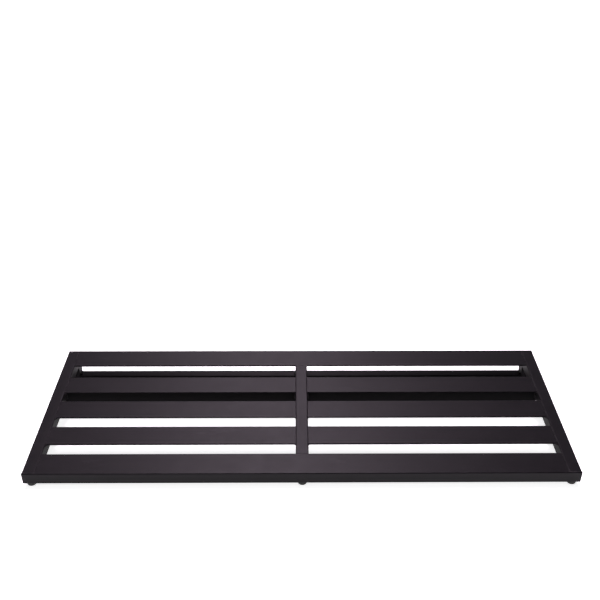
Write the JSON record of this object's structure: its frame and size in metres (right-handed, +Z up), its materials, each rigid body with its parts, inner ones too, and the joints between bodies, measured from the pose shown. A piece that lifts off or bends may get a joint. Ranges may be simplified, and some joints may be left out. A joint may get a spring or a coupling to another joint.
{
  "type": "pedalboard frame",
  "caption": "Open-rail effects pedalboard: flat black rails welded between tubes, sloping to the player, on a low rear stand and rubber feet.",
  "frame": {"origin": "on the floor under the middle of the board's length and depth", "axes": "+X along the board to the player's right, -Y towards the player, +Z up"},
  "size_m": [1.0668, 0.3676, 0.0886],
  "materials": {
    "powder_coated_frame": "fine-textured satin black powder coat on aluminium",
    "powder_coated_weld": "powder coat over ground and rippled weld fillets",
    "foot_rubber": "matte moulded rubber",
    "zinc_plated_steel": "bright zinc plate",
    "rivet_nut_steel": "zinc plate"
  },
  "bodies": {
    "root": {"rear_rail": "powder_coated_frame", "front_rail": "powder_coated_frame", "left_side_tube": "powder_coated_frame", "right_side_tube": "powder_coated_frame", "centre_tube": "powder_coated_frame", "left_rear_leg": "powder_coated_frame", "right_rear_leg": "powder_coated_frame", "centre_rear_leg": "powder_coated_frame", "left_leg_end_plate": "powder_coated_frame", "right_leg_end_plate": "powder_coated_frame", "rear_crossbar": "powder_coated_frame", "second_rail_left": "powder_coated_frame", "second_rail_right": "powder_coated_frame", "third_rail_left": "powder_coated_frame", "third_rail_right": "powder_coated_frame", "fourth_rail_left": "powder_coated_frame", "fourth_rail_right": "powder_coated_frame", "left_rail_welds": "powder_coated_weld", "centre_rail_welds": "powder_coated_weld", "right_rail_welds": "powder_coated_weld", "rear_stand_welds": "powder_coated_weld", "front_left_foot": "foot_rubber", "front_centre_foot": "foot_rubber", "front_right_foot": "foot_rubber", "rear_left_foot": "foot_rubber", "rear_centre_foot": "foot_rubber", "rear_right_foot": "foot_rubber", "foot_screws": "zinc_plated_steel", "foot_washers": "zinc_plated_steel", "rivet_nuts": "rivet_nut_steel"}
  },
  "joints": []
}
